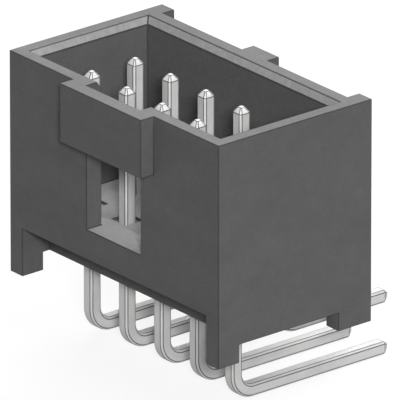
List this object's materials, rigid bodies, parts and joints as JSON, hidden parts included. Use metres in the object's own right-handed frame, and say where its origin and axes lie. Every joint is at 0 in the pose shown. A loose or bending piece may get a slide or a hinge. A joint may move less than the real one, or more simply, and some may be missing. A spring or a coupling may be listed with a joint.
{
  "type": "pcb plug connector",
  "caption": "Right-angle shrouded pin plug for a circuit board, with an open keyed mouth, a lock window and square contacts bent back into solder tails.",
  "frame": {"origin": "middle of the contact grid, level with the underside of the lower row of tails, which the plug rests on", "axes": "+X along the rows of contacts, +Y towards the circuit board that the tails go into, +Z out of the open mouth, the way the mating connector leaves"},
  "size_m": [0.0118, 0.0098, 0.0109],
  "materials": {
    "housing_plastic": "matt glass-filled moulding, dark grey",
    "contact_plating": "satin tin plating over a copper alloy"
  },
  "bodies": {
    "root": {"housing": "housing_plastic", "long_contact_1": "contact_plating", "long_contact_2": "contact_plating", "long_contact_3": "contact_plating", "long_contact_4": "contact_plating", "long_contact_5": "contact_plating", "short_contact_1": "contact_plating", "short_contact_2": "contact_plating", "short_contact_3": "contact_plating", "short_contact_4": "contact_plating", "short_contact_5": "contact_plating"}
  },
  "joints": []
}
